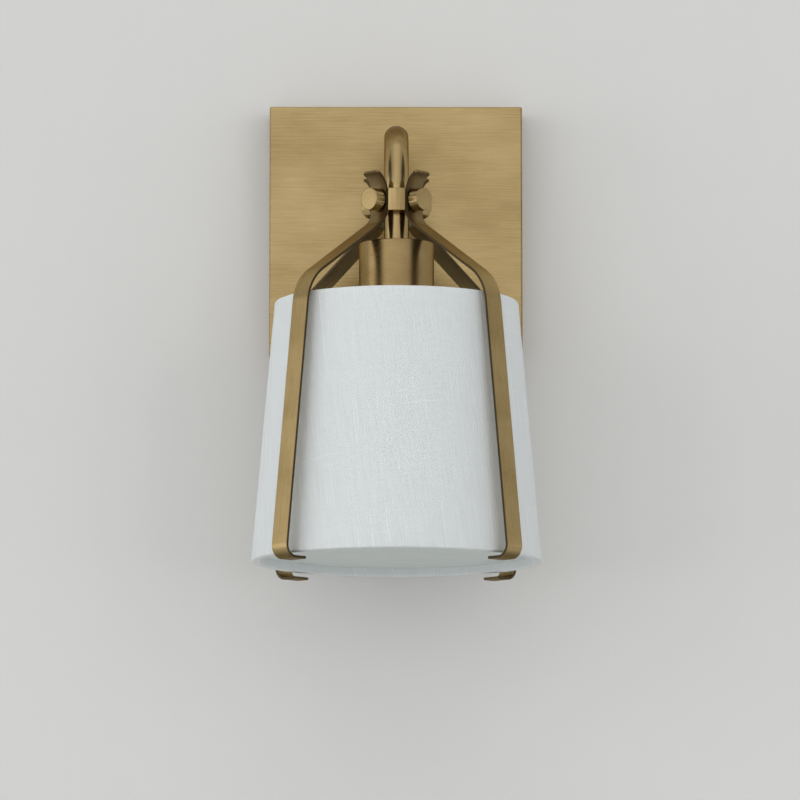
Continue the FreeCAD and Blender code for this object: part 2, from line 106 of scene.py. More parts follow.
# at the foot, under the shade, the darkening is painted shadow
STRAP_FOOT_SHADOW = (-176.8, -174.5, 0.7, 0.0)
# on the tube, the arch's darkened top is a painted dark reflection
CROWN_DARK_REFLECTION = (-15, -5, 0.0, 0.85)  # the same for the tube, from the top of its arch

# The studio's air by the parts of its direction: from, to, and the brightness at each end
AIR_ACROSS = (-1, 1, 1.41, 0.66)
AIR_OVERHEAD = (0.22, 0.5, 1.0, 0.12)
AIR_BELOW = (-0.7, -0.2, 0.24, 1.0)
AIR_BEFORE = (0.0, 0.15, 1.0, 0.0)
PATCH_ASIDE = (0.25, 0.95, 0.85, 0.0)
PATCH_UP = (0.25, 0.50)
GAP_ASIDE = 0.80
GAP_WIDTH = (0.10, 0.15, 1.0, 0.0)
GAP_LIGHT = 0.22
BACKDROP = 0.8


# -------- sizes and colours that a user may change
def colour_property(name, description, default):
    return bpy.props.FloatVectorProperty(
        name=name, description=description, default=default, subtype="COLOR", size=3, min=0, max=1)


def number_property(name, description, default, **more):
    return bpy.props.FloatProperty(name=name, description=description, default=default, **more)


def length_property(name, description, default, least=0):
    return number_property(name, description, default, unit="LENGTH", min=least, precision=5)


class FinishColours(bpy.types.PropertyGroup):
    """Colours of the light's finishes"""
    brass: colour_property("Brass", "Where it is brushed clean", (0.50, 0.377, 0.182))
    brass_dark: colour_property("Brass shade", "Where it is aged", (0.37, 0.265, 0.118))
    # paints shade on the straps' slope, curl and foot, and partly patina, partly painted shade on
    # their edges
    patina_and_shade: colour_property("Patina", "The straps' edges and bends", (0.06, 0.045, 0.030))
    # on the tube this colour paints a dark reflection over the arch's top; on the collar and cup it is
    # random browning
    deep_brass: colour_property("Deep brass", "The arch, collar and cup", (0.19, 0.112, 0.042))
    brass_rim: colour_property("Brass rim", "Tint at a flat angle", (0.64, 0.54, 0.42))
    bare_brass: colour_property("Bare brass", "The lampholder's brass", (0.78, 0.60, 0.30))
    zinc: colour_property("Zinc", "Plated steel", (0.62, 0.63, 0.64))
    ground_green: colour_property("Ground green", "The ground screw", (0.03, 0.24, 0.09))
    moulding: colour_property("Moulding", "The lampholder's body", (0.030, 0.029, 0.028))
    linen: colour_property("Linen", "Bleached linen", (0.765, 0.803, 0.812))
    backing: colour_property("Backing", "Stiff sheet behind the linen", (0.80, 0.80, 0.79))
    enamel: colour_property("Enamel", "The shade's rings", (0.78, 0.78, 0.77))
    frosted: colour_property("Frosted disc", "Frosted plastic disc", (0.66, 0.715, 0.70))


class ShadeSizes(bpy.types.PropertyGroup):
    """Sizes of the linen cover"""
    top_radius: length_property("Top radius", "Of the linen at the upper rim", 59.4 * MM)
    low_radius: length_property("Low radius", "Of the linen at the lower rim", 70.5 * MM)
    top_turn_in: length_property("Top turn-in", "Upper rim's edge to the hem's face", 4.3 * MM)
    low_turn_in: length_property("Low turn-in", "Lower rim's edge to the hem's face", 4.5 * MM)
    cloth: length_property("Cloth", "Thickness of the linen", 0.6 * MM)
    fold: length_property("Fold", "Radius of the fold over each rim", 0.8 * MM)
    hem: length_property("Hem", "Depth of the turned-in cloth", 4.0 * MM)
    seam: length_property("Seam", "Width of the overlap at the back", 12.0 * MM)
    seam_rise: length_property("Seam rise", "Height of the overlap", 0.35 * MM)
    grain_turn: number_property("Grain turn", "Degrees from the front to plumb threads", -85.0)
    thread: length_property("Thread", "Spacing of the linen's threads", 0.55 * MM)


class MetalSizes(bpy.types.PropertyGroup):
    """Sizes of the metalwork's detail"""
    edge: length_property("Edge", "Softness of cut edges", 0.16 * MM)
    head: length_property("Head", "Radius of a thumbscrew's head", 5.55 * MM)
    head_length: length_property("Head length", "Length of a thumbscrew's head", 5.8 * MM)
    head_from: length_property("Head from", "Shade's axis to a screw's head", 13.4 * MM)
    tip_from: length_property("Tip from", "Shade's axis to the tip of a screw", 6.2 * MM)
    head_edge: length_property("Head edge", "Bevel round a screw's head", 0.35 * MM)
    crest: length_property("Crest", "Radius over a screw's thread", 2.0 * MM)
    root: length_property("Root", "Radius under a screw's thread", 1.6 * MM)
    pitch: length_property("Pitch", "Pitch of a screw's thread", 0.7 * MM)
    lamp_pitch: length_property("Lamp pitch", "Pitch of the lampholder's shell", 3.63 * MM)
    grips: bpy.props.IntProperty(name="Grips", description="Round the ring nut", default=24, min=6)


class StudioSizes(bpy.types.PropertyGroup):
    """Camera, wall and lamps"""
    azimuth: number_property("Azimuth", "Degrees that the camera stands to the left", 0.3)
    elevation: number_property("Elevation", "Degrees that the camera looks up", 7.604)
    distance: length_property("Distance", "Camera to the shade's axis", 2.7315)
    lens: number_property("Lens", "Focal length in millimetres", 252.4)
    aim_x: length_property("Aim X", "Sideways place of the picture's middle", 1.7 * MM, least=-1)
    aim_z: length_property("Aim Z", "Height of the picture's middle", -95.3 * MM, least=-1)
    wall: colour_property("Wall", "Plain pale wall", (0.755, 0.755, 0.742))
    floor: colour_property("Floor", "Plain pale floor", (0.66, 0.66, 0.65))
    key: number_property("Key", "Watts of the left softbox", 16.2)
    fill: number_property("Fill", "Watts of the right softbox", 14.8)
    ambient: number_property("Ambient", "Brightness of the studio's air", 1.0)


SETTINGS = {"finish": FinishColours, "shade": ShadeSizes, "metal": MetalSizes, "studio": StudioSizes}


def settings(name):
    return getattr(bpy.context.scene, "wall_light_" + name)


# -------- modelling helpers
def object_mode():
    bpy.ops.object.mode_set(mode="OBJECT")


def nothing_selected():
    """Object mode with nothing selected, which every primitive and edit starts from."""
    if bpy.context.mode != "OBJECT":
        object_mode()
    bpy.ops.object.select_all(action="DESELECT")


def only(piece):
    nothing_selected()
    piece.select_set(True)
    bpy.context.view_layer.objects.active = piece


def edit_all(piece):
    """Edit mode with all of the piece selected."""
    only(piece)
    bpy.ops.object.mode_set(mode="EDIT")
    bpy.ops.mesh.select_all(action="SELECT")


def apply_modifier(piece, kind, **values):
    """Adds a modifier of this kind with these values and applies it."""
    only(piece)
    modifier = piece.modifiers.new(kind.title(), kind)
    for name, value in values.items():
        setattr(modifier, name, value)
    bpy.ops.object.modifier_apply(modifier=modifier.name)


def smooth(piece, angle=35):
    only(piece)
    bpy.ops.object.shade_smooth_by_angle(angle=math.radians(angle))


def even_shading(piece):
    """Smooth shading whose flat faces stay flat right up to their eased edges."""
    smooth(piece)
    apply_modifier(piece, "WEIGHTED_NORMAL", keep_sharp=True)


def bevelled(piece, width, angle, segments=2, clamp=True):
    """Eases the edges that turn by more than angle degrees."""
    apply_modifier(piece, "BEVEL", width=width, segments=segments, limit_method="ANGLE",
                   angle_limit=math.radians(angle), use_clamp_overlap=clamp)


def place_in_mesh(piece):
    only(piece)
    bpy.ops.object.transform_apply(location=True, rotation=True, scale=True)


def just_added(name):
    """The object that an operator has just made, named, with its place kept in its mesh."""
    piece = bpy.context.object
    piece.name = name
    place_in_mesh(piece)
    return piece


def face_outwards(piece):
    edit_all(piece)
    bpy.ops.mesh.remove_doubles(threshold=1e-6)
    bpy.ops.mesh.normals_make_consistent(inside=False)
    object_mode()


def paint(piece, material):
    piece.data.materials.clear()
    piece.data.materials.append(material)


def seat(piece, body, finish, slot, *nodes):
    """Hands a finished piece to its body, finish and the nodes that it stands for."""
    paint(piece, bpy.data.materials[finish])
    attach(piece, body)
    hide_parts(*nodes)


def new_object(name, data):
    """An object for this data, both with this name, linked to the scene."""
    data.name = name
    made = bpy.data.objects.new(name, data)
    bpy.context.scene.collection.objects.link(made)
    return made


def eased_copy(node_name):
    """A copy of a node's mesh, merged, with its sharp edges broken."""
    mesh = frame["nodes"][node_name].data.copy()
    piece = new_object("finished_" + node_name, mesh)
    face_outwards(piece)
    edit_all(piece)
    bpy.ops.mesh.dissolve_limited(angle_limit=math.radians(0.6))
    object_mode()
    if mesh.has_custom_normals:
        bpy.ops.mesh.customdata_custom_splitnormals_clear()
    bevelled(piece, settings("metal").edge, 50, clamp=False)
    even_shading(piece)
    return piece


def dress_nodes(finish, slot, *node_names):
    """Eased copies of these nodes of the fixed body, with this finish; slot is not used."""
    for node_name in node_names:
        seat(eased_copy(node_name), FIXED_BODY, finish, slot, node_name)


def half_width(node_name):
    low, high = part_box(node_name)
    return (high.x - low.x) / 2


def axis_distance(place):
    """How far a place is from the shade's axis."""
    return math.hypot(place.x, place.y - AXIS_Y)


def stood(piece, turn, place):
    """Turns and moves a piece that was made about the origin, and keeps that in its mesh."""
    piece.rotation_euler = turn
    piece.location = place
    place_in_mesh(piece)


def joined(*pieces):
    """All the pieces as one, named as the first."""
    nothing_selected()
    for piece in pieces:
        piece.select_set(True)
    bpy.context.view_layer.objects.active = pieces[0]
    bpy.ops.object.join()
    return pieces[0]


def thread_ridge(name, root, crest, pitch, length, sides=3):
    """A helical ridge about the X axis from x = 0 to length, closed at both ends."""
    nothing_selected()
    middle = (root + crest) / 2
    depth = abs(crest - root)
    ridge_width = pitch * 0.8
    bpy.ops.mesh.primitive_circle_add(
        vertices=sides, radius=depth / 2, location=(0, 0, middle), rotation=(math.pi / 2, 0, 0))
    ridge = bpy.context.object
    ridge.name = name
    edit_all(ridge)
    bpy.ops.transform.resize(value=(ridge_width / depth, 1, 1), center_override=(0, 0, middle))
    bpy.ops.transform.translate(value=(pitch / 2, 0, 0))
    object_mode()
    place_in_mesh(ridge)
    turns = max(int(length / pitch) - 1, 1)
    apply_modifier(ridge, "SCREW", axis="X", screw_offset=pitch, iterations=turns, steps=24,
                   render_steps=24, use_merge_vertices=False, use_smooth_shade=False)
    edit_all(ridge)
    bpy.ops.mesh.remove_doubles(threshold=1e-7)
    bpy.ops.mesh.select_all(action="SELECT")
    bpy.ops.mesh.fill_holes(sides=sides)
    object_mode()
    face_outwards(ridge)
    return ridge


def bored(piece, wall, is_end):
    """A hole through the piece, this wall in from its edge, between the faces that are its ends."""
    pick_faces(piece, is_end)
    bpy.ops.mesh.inset(thickness=wall)
    bpy.ops.mesh.bridge_edge_loops()


def threaded_pipe(name, root, crest, bore, pitch, length):
    """A hollow threaded pipe about the X axis, from x = 0 to length."""
    nothing_selected()
    bpy.ops.mesh.primitive_cylinder_add(
        vertices=64, radius=root, depth=length, location=(length / 2, 0, 0), rotation=ALONG_X)
    pipe = just_added(name)
    bored(pipe, root - bore, lambda face: abs(face.normal.x) > FACING)
    face_outwards(pipe)
    return joined(pipe, thread_ridge(name + "_ridge", root, crest, pitch, length))


def pick_faces(piece, wanted):
    """Edit mode with only the faces selected for which wanted(face) is true."""
    only(piece)
    bpy.ops.object.mode_set(mode="EDIT")
    bpy.ops.mesh.select_mode(type="FACE")
    bpy.ops.mesh.select_all(action="DESELECT")
    object_mode()
    for face in piece.data.polygons:
        face.select = bool(wanted(face))
    bpy.ops.object.mode_set(mode="EDIT")


# -------- shader helpers
def node(tree, kind, **inputs):
    """A new node; inputs are given by socket name, with _ for a space, as a value or a socket."""
    made = tree.nodes.new("ShaderNode" + kind)
    feed(tree, made, **inputs)
    return made


def feed(tree, target, **inputs):
    for name, value in inputs.items():
        connect(tree, value, target.inputs[name.replace("_", " ")])


def connect(tree, value, socket):
    if isinstance(value, bpy.types.NodeSocket):
        tree.links.new(value, socket)
    else:
        socket.default_value = value


def math_node(tree, operation, first, second=0.0):
    made = node(tree, "Math")
    made.operation = operation
    connect(tree, first, made.inputs[0])
    connect(tree, second, made.inputs[1])
    return made.outputs[0]


def plus(tree, *values):
    """The sum of all the values."""
    total = values[0]
    for value in values[1:]:
        total = math_node(tree, "ADD", total, value)
    return total


def times(tree, first, second):
    return math_node(tree, "MULTIPLY", first, second)


def split(tree, vector):
    """The X, Y and Z of a vector."""
    parts = node(tree, "SeparateXYZ")
    tree.links.new(vector, parts.inputs[0])
    return tuple(parts.outputs)


def combined(tree, **parts):
    return node(tree, "CombineXYZ", **parts).outputs[0]


def radius_of(tree, first, second):
    squares = plus(tree, times(tree, first, first), times(tree, second, second))
    return math_node(tree, "SQRT", squares)


def stretched(tree, vector, scale):
    """The vector with its three parts multiplied by scale."""
    made = node(tree, "VectorMath")
    made.operation = "MULTIPLY"
    tree.links.new(vector, made.inputs[0])
    made.inputs[1].default_value = scale
    return made.outputs[0]


def noise(tree, vector, repeats, detail=2.0, roughness=0.5):
    """Noise that repeats this often in a millimetre: one number, or one for each of X, Y and Z."""
    if isinstance(repeats, tuple):
        vector, repeats = stretched(tree, vector, repeats), 1.0
    return node(tree, "TexNoise", Vector=vector, Scale=repeats, Detail=detail,
                Roughness=roughness).outputs["Fac"]


def between(tree, value, low, high, to_low=0.0, to_high=1.0):
    """The value's range low to high brought to to_low to to_high, and held there outside it."""
    made = node(tree, "MapRange", Value=value, From_Min=low, From_Max=high,
                To_Min=to_low, To_Max=to_high)
    made.clamp = True
    return made.outputs["Result"]


def spread(tree, value, reach, to_low=0.0, to_high=1.0):
    """The same for noise, which swings about 0.5 by this reach."""
    return between(tree, value, 0.5 - reach, 0.5 + reach, to_low, to_high)


def mixed(tree, factor, first, second):
    made = node(tree, "Mix")
    made.data_type = "RGBA"
    connect(tree, factor, made.inputs["Factor"])
    connect(tree, first, made.inputs[6])
    connect(tree, second, made.inputs[7])
    return made.outputs[2]


def opaque(colour, shade=1.0):
    """The colour with its alpha, made this much lighter or darker and held at white."""
    return (*(min(part * shade, 1.0) for part in colour), 1.0)


def new_material(name):
    """A material, with its tree and its Principled shader."""
    material = bpy.data.materials.new(name)
    material.use_nodes = True
    tree = material.node_tree
    return material, tree, tree.nodes["Principled BSDF"]


def object_place(tree, location=(0, 0, 0), turn=0.0):
    """Object coordinates in millimetres, moved by location and then turned by -turn about Z."""
    coordinates = node(tree, "TexCoord").outputs["Object"]
    mapping = node(tree, "Mapping", Vector=coordinates)
    mapping.vector_type = "TEXTURE"
    mapping.inputs["Location"].default_value = location
    mapping.inputs["Rotation"].default_value = (0, 0, turn)
    return stretched(tree, mapping.outputs[0], (1 / MM, 1 / MM, 1 / MM))


def bumped(tree, shader, height, distance):
    bump = node(tree, "Bump", Height=height, Distance=distance, Strength=1.0)
    tree.links.new(bump.outputs["Normal"], shader.inputs["Normal"])


def new_group(name, inputs, outputs):
    """An empty shader node group, from its sockets' names and types; returns the group, the sockets
    that it is given and the node of its results."""
    group = bpy.data.node_groups.new(name, "ShaderNodeTree")
    for direction, sockets in (("INPUT", inputs), ("OUTPUT", outputs)):
        for label, kind in sockets.items():
            group.interface.new_socket(name=label, in_out=direction, socket_type="NodeSocket" + kind)
    given = group.nodes.new("NodeGroupInput").outputs
    return group, tuple(given)[:len(inputs)], group.nodes.new("NodeGroupOutput")


def use_group(tree, name, **inputs):
    made = node(tree, "Group")
    made.node_tree = bpy.data.node_groups[name]
    feed(tree, made, **inputs)
    return made


# -------- shared effects
def brushed_effect():
    """Hairlines along the X of Grain, over slow clouds of Place; Edge is 1 where the Dark colour is
    mixed in: random browning on the collar and cup, painted shade and patina on the straps, a painted
    dark reflection on the arch's top.
    """
    group, (grain, place, clean, aged, dark, edge, gloss), result = new_group(
        "Brushed metal",
        {"Grain": "Vector", "Place": "Vector", "Clean": "Color", "Aged": "Color", "Dark": "Color",
         "Edge": "Float", "Gloss": "Float"},
        {"Color": "Color", "Roughness": "Float", "Height": "Float"})
    hair = noise(group, grain, HAIR, 2.0, 0.6)
    streak = noise(group, grain, STREAK, 4.0, 0.75)
    cloud = noise(group, place, BRASS_CLOUD, 3.0, 0.55)
    tone = plus(group, spread(group, hair, *HAIR_TONE), spread(group, streak, *STREAK_TONE),
                spread(group, cloud, *CLOUD_TONE))
    rough = plus(group, gloss, spread(group, streak, *STREAK_ROUGH), times(group, edge, DARK_ROUGH),
                 spread(group, cloud, *CLOUD_ROUGH))
    feed(group, result, Color=mixed(group, edge, mixed(group, tone, aged, clean), dark),
         Roughness=rough, Height=plus(group, hair, times(group, streak, 0.25)))


def grime_effect():
    """Soft specks and clouds for paint, plastic and plated steel: a mask and a height."""
    group, (place, fineness), result = new_group(
        "Handled surface", {"Place": "Vector", "Fineness": "Float"},
        {"Mask": "Float", "Height": "Float"})
    feed(group, result, Mask=spread(group, noise(group, place, 0.08, 4.0, 0.6), 0.2),
         Height=noise(group, place, fineness))


# -------- materials
def finish_brass(name, grain_of, gloss=0.26, relief=0.007 * MM, dark=None):
    """Aged brushed brass; grain_of(tree) gives the place, the vector that the hairlines follow and the
    mask where the dark colour is mixed in, as random browning, patina or painted shade."""
    material, tree, shader = new_material(name)
    colours = settings("finish")
    place, grain, edge = grain_of(tree)
    brushed = use_group(
        tree, "Brushed metal", Grain=grain, Place=place, Clean=opaque(colours.brass),
        Aged=opaque(colours.brass_dark), Dark=opaque(dark or colours.patina_and_shade), Edge=edge, Gloss=gloss)
    feed(tree, shader, Base_Color=brushed.outputs["Color"], Roughness=brushed.outputs["Roughness"])
    shader.inputs["Metallic"].default_value = 1.0
    shader.inputs["Specular Tint"].default_value = opaque(colours.brass_rim)
    bumped(tree, shader, brushed.outputs["Height"], relief)
    return material


def level_grain(tree):
    """Hairlines that lie level, as on the wall pan."""
    place = object_place(tree)
    x, y, z = split(tree, place)
    return place, combined(tree, X=plus(tree, x, y), Y=z), 0.0


def upright_grain(tree):
    """Hairlines that stand upright, as on the collar, which has gone brown in streaks."""
    place = object_place(tree)
    x, y, z = split(tree, place)
    brown = spread(tree, noise(tree, place, BROWN_STREAK), *BROWN_STREAK_AGE)
    return place, combined(tree, X=z, Y=plus(tree, x, y)), brown


def lathe_grain(age):
    """Turning marks round the shade's axis; age is how brown the piece has gone."""
    def grain(tree):
        place = object_place(tree, (0, AXIS_Y, 0))
        x, y, z = split(tree, place)
        marks = combined(tree, X=times(tree, x, 2.0), Y=times(tree, z, 1.8), Z=radius_of(tree, x, y))
        brown = spread(tree, noise(tree, place, TURNED_PATCH), 0.2, age * 0.7, age * 1.3)
        return place, marks, brown
    return grain


def strap_grain(angle):
    """Hairlines that run along a strap; its sheared edges are darkened as partly patina, partly
    painted shade, its slope and curl as painted shade and its foot as painted shadow.
    """
    def grain(tree):
        place = object_place(tree, (0, AXIS_Y, 0), angle)
        x, y, z = split(tree, place)
        # darker edges: partly patina, partly painted shade; then painted shade over the slope and
        # curl, painted shadow at the foot
        edge = between(tree, math_node(tree, "ABSOLUTE", y), *STRAP_EDGE_PATINA_AND_SHADE)
        ragged = plus(tree, z, spread(tree, noise(tree, place, 0.12), 0.2, -4, 4))
        edge = math_node(tree, "MAXIMUM", edge, between(tree, ragged, *STRAP_SHOULDER_SHADE))
        edge = math_node(tree, "MAXIMUM", edge, between(tree, z, *STRAP_FOOT_SHADOW))
        return place, combined(tree, X=math_node(tree, "SUBTRACT", z, x), Y=y), edge
    return grain


def screw_grain(angle, height):
    """Rings on a thumbscrew's face and turning marks round its side."""
    def grain(tree):
        place = object_place(tree, (0, AXIS_Y, height), angle)
        x, y, z = split(tree, place)
        return place, combined(tree, Y=x, Z=radius_of(tree, y, z)), 0.0
    return grain


def tube_grain(tree):
    """Fine marks that run with the bent tube, so they change across X; the arch's top is darkened as a
    painted dark reflection.
    """
    place = object_place(tree)
    x, y, z = split(tree, place)
    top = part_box("arm_tube")[1].z / MM
    ragged = plus(tree, z, spread(tree, noise(tree, place, 0.15), 0.2, -3 - top, 3 - top))
    return place, combined(tree, Y=x), between(tree, ragged, *CROWN_DARK_REFLECTION)


def finish_handled(name, colour, roughness, metallic=0.0, fineness=1.5, relief=0.01 * MM,
                   shade=0.82):
    """Plain finishes with slight clouding: enamel, zinc, moulded plastic, frosted plastic."""
    material, tree, shader = new_material(name)
    handled = use_group(tree, "Handled surface", Place=object_place(tree), Fineness=fineness)
    mask = handled.outputs["Mask"]
    feed(tree, shader, Base_Color=mixed(tree, mask, opaque(colour, shade), opaque(colour)),
         Roughness=between(tree, mask, 0, 1, roughness * 1.15, roughness * 0.9))
    shader.inputs["Metallic"].default_value = metallic
    bumped(tree, shader, handled.outputs["Height"], relief)
    return material


def finish_linen(name):
    """Plain weave with slubs; reads the piece's own map of the flat cloth, in millimetres."""
    material, tree, shader = new_material(name)
    colour = settings("finish").linen
    cloth_map = node(tree, "UVMap")
    cloth_map.uv_map = "threads"
    place = cloth_map.outputs[0]
    warp = noise(tree, place, WARP, 2.0, 0.7)
    weft = noise(tree, place, WEFT, 2.0, 0.7)
    slub = between(tree, noise(tree, place, SLUB, 0.0), *SLUB_CUT)
    short_slub = between(tree, noise(tree, place, SHORT_SLUB, 0.0), *SHORT_SLUB_CUT)
    cross_slub = between(tree, noise(tree, place, CROSS_SLUB, 0.0), *CROSS_SLUB_CUT)
    thick = plus(tree, slub, times(tree, short_slub, 0.7), times(tree, cross_slub, 0.35))
    tone = plus(tree, spread(tree, warp, *WARP_TONE), spread(tree, weft, *WEFT_TONE))
    cloth = mixed(tree, tone, opaque(colour, 0.94), opaque(colour, 1.08))
    cloth = mixed(tree, times(tree, thick, 0.7), cloth, opaque(colour, 1.27))
    feed(tree, shader, Base_Color=mixed(tree, knots(tree, place), cloth, opaque(colour, 0.55)))
    shader.inputs["Roughness"].default_value = 0.9
    shader.inputs["Specular IOR Level"].default_value = 0.25
    shader.inputs["Sheen Weight"].default_value = 0.1
    over_under = weave(tree, place, math.pi / (settings("shade").thread / MM))
    height = plus(tree, times(tree, over_under, 0.22), times(tree, warp, 0.8), times(tree, weft, 0.3),
                  times(tree, thick, 0.5))
    bumped(tree, shader, height, 0.21 * MM)
    return material


def weave(tree, place, wave):
    """Over and under of a plain weave, from -1 to 1."""
    x, y, _ = split(tree, place)
    across = math_node(tree, "SINE", times(tree, x, wave))
    along = math_node(tree, "SINE", times(tree, y, wave))
    return times(tree, across, along)


def knots(tree, place):
    """A few tiny specks of husk, some centimetres apart."""
    cells = node(tree, "TexVoronoi", Vector=stretched(tree, place, HUSK), Scale=1.0)
    near = between(tree, cells.outputs["Distance"], *HUSK_SIZE)
    return times(tree, near, between(tree, cells.outputs["Color"], *HUSK_CUT))


def finish_wall(name, colour):
    """Plain studio surface; its back is clear, so that the camera can stand behind it."""
    material, tree, shader = new_material(name)
    streak = noise(tree, object_place(tree), (0.06, 0.06, 0.004), 3.0, 0.6)
    feed(tree, shader, Base_Color=mixed(tree, streak, opaque(colour, 0.985), opaque(colour)))
    shader.inputs["Roughness"].default_value = 0.9
    shader.inputs["Specular IOR Level"].default_value = 0.1
    side = node(tree, "MixShader", Fac=node(tree, "NewGeometry").outputs["Backfacing"])
    tree.links.new(shader.outputs[0], side.inputs[1])
    tree.links.new(node(tree, "BsdfTransparent").outputs[0], side.inputs[2])
    tree.links.new(side.outputs[0], tree.nodes["Material Output"].inputs["Surface"])
    return material


def strap_angle(corner):
    """Direction of a strap round the shade's axis, from its screw's joint."""
    axis = TURN_JOINTS[corner]["axis"]
    return math.atan2(axis[1], axis[0])


# -------- operators
class WALLLIGHT_OT_finishes(bpy.types.Operator):
    """Mix the finishes that the pieces share"""
    bl_idname = "wall_light.finishes"
    bl_label = "Finishes"

    def execute(self, context):
        brushed_effect()
        grime_effect()
        colours = settings("finish")
        finish_brass("Brushed brass sheet", level_grain)
        brown = colours.deep_brass
        finish_brass("Upright brass", upright_grain, 0.20, 0.004 * MM, brown)
        finish_brass("Spun brass", lathe_grain(0.40), 0.18, 0.006 * MM, brown)
        # on the tube, brown paints the arch's top as a dark reflection
        finish_brass("Drawn brass tube", tube_grain, 0.20, dark=brown)
        for corner in CORNERS:
            angle, height = strap_angle(corner), TURN_JOINTS[corner]["pos_m"][2]
            finish_brass("Brass strap " + corner, strap_grain(angle))
            finish_brass("Brass screw " + corner, screw_grain(angle, height), 0.22, 0.003 * MM)
        finish_handled("Zinc steel", colours.zinc, 0.38, metallic=1.0, fineness=0.8)
        finish_handled("Ground green", colours.ground_green, 0.35)
        finish_handled("Moulded black", colours.moulding, 0.42, fineness=3.0, relief=0.02 * MM)
        finish_handled("Pressed brass", colours.bare_brass, 0.22, metallic=1.0)
        finish_handled("White backing", colours.backing, 0.5, shade=0.96)
        finish_handled("White enamel", colours.enamel, 0.35, shade=0.94)
        finish_handled("Frosted plastic", colours.frosted, 0.55, fineness=6.0, shade=0.97)
        finish_linen("Slub linen")
        return {"FINISHED"}


class WALLLIGHT_OT_wall_pan_and_arm(bpy.types.Operator):
    """Ease the edges of the wall pan, gooseneck, collar and cup, and brush them"""
    bl_idname = "wall_light.wall_pan_and_arm"
    bl_label = "Wall pan and arm"

    def execute(self, context):
        dress_nodes("Brushed brass sheet", "aged_brass", "backplate")
        dress_nodes("Drawn brass tube", "aged_brass", "arm_tube")
        dress_nodes("Upright brass", "aged_brass", "collar")
        dress_nodes("Spun brass", "aged_brass", "socket_cup")
        return {"FINISHED"}


class WALLLIGHT_OT_straps(bpy.types.Operator):
    """Ease the edges of the four bent straps and brush each along its length"""
    bl_idname = "wall_light.straps"
    bl_label = "Straps"

    def execute(self, context):
        for corner in CORNERS:
            dress_nodes("Brass strap " + corner, "aged_brass", "strap_" + corner)
        return {"FINISHED"}


class WALLLIGHT_OT_thumbscrews(bpy.types.Operator):
    """Turn one thumbscrew with its thread and set a copy, with its washer, on each strap"""
    bl_idname = "wall_light.thumbscrews"
    bl_label = "Thumbscrews"

    RING_IN = 0.16  # from the head's edge to the ring in its face, of the head's radius
    RING_WIDTH = 0.05  # the same for the ring's wall
    RING_DEPTH = 0.06 * MM

    def execute(self, context):
        pattern = self.screw(settings("metal"))
        for corner in CORNERS:
            finish = "Brass screw " + corner
            screw = new_object("finished_thumbscrew_" + corner, pattern.data.copy())
            stood(screw, (0, 0, strap_angle(corner)), (0, AXIS_Y, TURN_JOINTS[corner]["pos_m"][2]))
            even_shading(screw)
            seat(screw, corner + "_thumbscrew", finish, "aged_brass", "thumbscrew_" + corner)
            seat(eased_copy("washer_" + corner), corner + "_washer", finish, "aged_brass",
                 "washer_" + corner)
        bpy.data.objects.remove(pattern)
        return {"FINISHED"}

    def screw(self, sizes):
        """Head, shank and thread about the X axis, at their distances from the shade's axis."""
        nothing_selected()
        bpy.ops.mesh.primitive_cylinder_add(
            vertices=96, radius=sizes.head, depth=sizes.head_length,
            location=(sizes.head_from + sizes.head_length / 2, 0, 0), rotation=ALONG_X)
        screw = just_added("thumbscrew_pattern")
        pick_faces(screw, lambda face: face.normal.x < -FACING)
        bpy.ops.mesh.inset(thickness=sizes.head - sizes.root)
        shank = sizes.head_from - sizes.tip_from
        tip = sizes.root / 4
        bpy.ops.mesh.extrude_region_move(TRANSFORM_OT_translate={"value": (tip - shank, 0, 0)})
        bpy.ops.mesh.extrude_region_move(TRANSFORM_OT_translate={"value": (-tip, 0, 0)})
        bpy.ops.transform.resize(value=(1, 0.75, 0.75), center_override=(sizes.tip_from, 0, 0))
        pick_faces(screw, lambda face: face.normal.x > FACING)
        bpy.ops.mesh.inset(thickness=sizes.head * self.RING_IN)
        bpy.ops.mesh.inset(thickness=sizes.head * self.RING_WIDTH, depth=-self.RING_DEPTH)
        object_mode()
        face_outwards(screw)
        bevelled(screw, sizes.head_edge, 60, segments=3)
        ridge = thread_ridge("ridge", sizes.root, sizes.crest, sizes.pitch, shank - tip)
        stood(ridge, (0, 0, 0), (sizes.tip_from + tip, 0, 0))
        return joined(screw, ridge)


class WALLLIGHT_OT_wall_fixing(bpy.types.Operator):
    """Finish the bracket, the threads, the nuts and the ground screw that the pan hides"""
    bl_idname = "wall_light.wall_fixing"
    bl_label = "Wall fixing"

    PITCH = 1.0 * MM
    DEPTH = 0.5 * MM
    BORE = 0.7  # of a nipple's outside

    def execute(self, context):
        dress_nodes("Zinc steel", "zinc_steel", "mounting_bracket", "arm_washer", "arm_nut", "cup_nut")
        dress_nodes("Ground green", "green_paint", "ground_screw")
        dress_nodes("Brushed brass sheet", "aged_brass", "lock_screws")
        self.nipple("arm_nipple", "y")
        self.nipple("cup_nipple", "z")
        return {"FINISHED"}

    def nipple(self, node_name, along):
        """Hollow lamp thread in place of a node that runs along Y or Z."""
        low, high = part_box(node_name)
        length = getattr(high, along) - getattr(low, along)
        crest = half_width(node_name)
        pipe = threaded_pipe("finished_" + node_name, crest - self.DEPTH, crest, crest * self.BORE,
                             self.PITCH, length)
        turn = (0, 0, math.pi / 2) if along == "y" else (0, -math.pi / 2, 0)
        middle = (low + high) / 2
        setattr(middle, along, getattr(low, along))
        stood(pipe, turn, middle)
        smooth(pipe)
        seat(pipe, FIXED_BODY, "Zinc steel", "zinc_steel", node_name)


